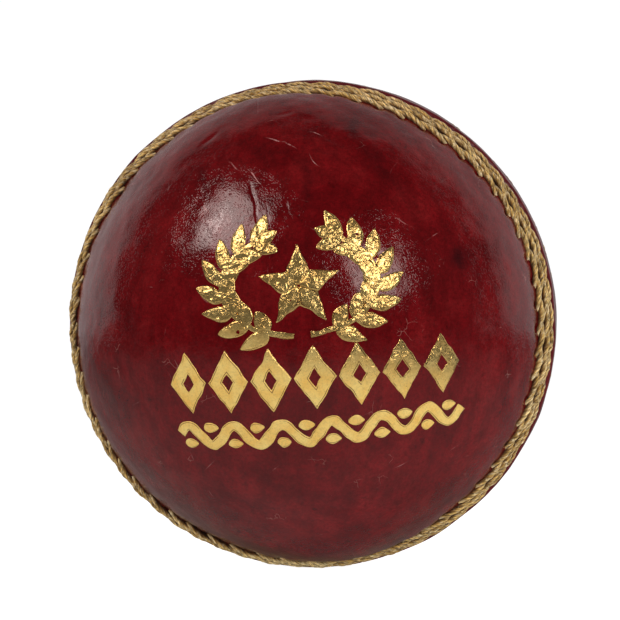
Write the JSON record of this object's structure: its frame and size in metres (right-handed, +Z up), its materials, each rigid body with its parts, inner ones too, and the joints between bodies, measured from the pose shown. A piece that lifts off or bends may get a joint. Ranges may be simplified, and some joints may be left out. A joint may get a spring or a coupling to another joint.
{
  "type": "cricket ball",
  "caption": "A hard hand-stitched red leather ball with a raised seam around its middle, for bowling, batting and fielding.",
  "frame": {"origin": "The ball's centre, which is the middle of its bounding box.", "axes": "+Z up, as the ball stands on its seam. Y is the seam axis, through the poles of the two leather cups; the printed cup is on -Y. X completes the right-handed frame."},
  "size_m": [0.0728, 0.0712, 0.0728],
  "materials": {
    "leather": "deep red alum-tanned leather, polished to a high gloss, faintly mottled and creased",
    "seam_thread": "thick waxed linen thread, golden tan, stitched by hand in overlapping stitches",
    "hidden_thread": "waxed linen thread of the hidden inner seams",
    "cup_lining": "thin undyed leather lining, matt",
    "yarn": "worsted yarn, wound tight while damp",
    "cork": "sheet cork, matt and speckled",
    "nucleus_cork_rubber": "ground cork bound with rubber",
    "gold_foil": "hot-stamped gold foil, bright and slightly crinkled, on the near cup"
  },
  "bodies": {
    "root": {"core_nucleus": "nucleus_cork_rubber", "cork_strip_1_1": "cork", "cork_strip_1_2": "cork", "cork_strip_1_3": "cork", "cork_strip_1_4": "cork", "cork_strip_2_1": "cork", "cork_strip_2_2": "cork", "cork_strip_2_3": "cork", "cork_strip_2_4": "cork", "cork_strip_3_1": "cork", "cork_strip_3_2": "cork", "cork_strip_3_3": "cork", "cork_strip_3_4": "cork", "cork_strip_4_1": "cork", "cork_strip_4_2": "cork", "cork_strip_4_3": "cork", "cork_strip_4_4": "cork", "yarn_winding_1": "yarn", "yarn_winding_2": "yarn", "yarn_winding_3": "yarn", "yarn_winding_4": "yarn", "near_cup_lining": "cup_lining", "far_cup_lining": "cup_lining", "near_leather_quarter_1": "leather", "near_leather_quarter_2": "leather", "far_leather_quarter_1": "leather", "far_leather_quarter_2": "leather", "near_quarter_seam_thread": "hidden_thread", "far_quarter_seam_thread": "hidden_thread", "near_stitch_row_middle": "seam_thread", "near_stitch_row_second": "seam_thread", "near_stitch_row_outer": "seam_thread", "far_stitch_row_middle": "seam_thread", "far_stitch_row_second": "seam_thread", "far_stitch_row_outer": "seam_thread"}
  },
  "joints": []
}
